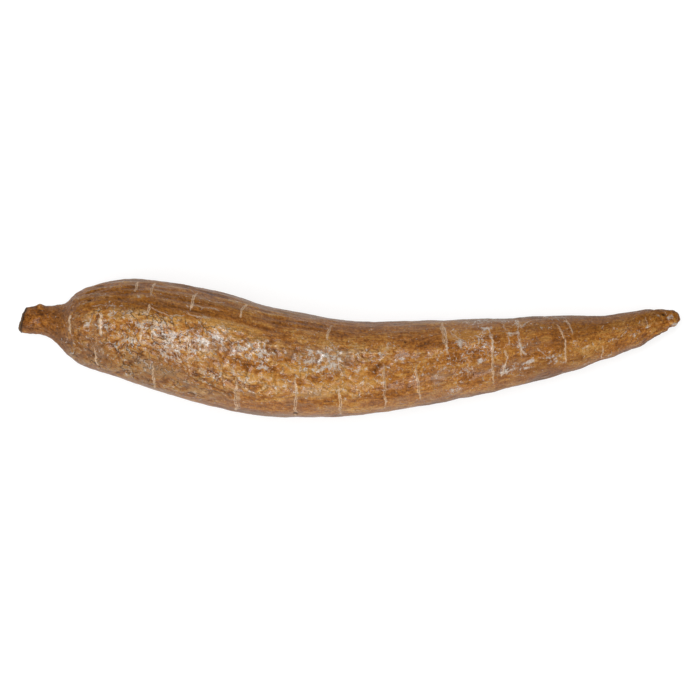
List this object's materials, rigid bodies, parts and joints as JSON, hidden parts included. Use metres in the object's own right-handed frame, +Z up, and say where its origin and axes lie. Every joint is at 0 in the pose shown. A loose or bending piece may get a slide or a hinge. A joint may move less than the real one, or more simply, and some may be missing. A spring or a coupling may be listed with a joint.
{
  "type": "cassava root",
  "caption": "Whole fresh cassava root, waxed: short cut neck, steep shoulder, thick S-curved body and a long taper to a broken tip.",
  "frame": {"origin": "on the table, under the middle of the root's bounding box", "axes": "+X from the cut neck to the tip, +Y to the side that both ends curve towards, +Z up"},
  "size_m": [0.3312, 0.0692, 0.054],
  "materials": {
    "bark": "waxed brown bark, satin, with pale cross-wise scars"
  },
  "bodies": {
    "root": {"cassava_root": "bark"}
  },
  "joints": []
}
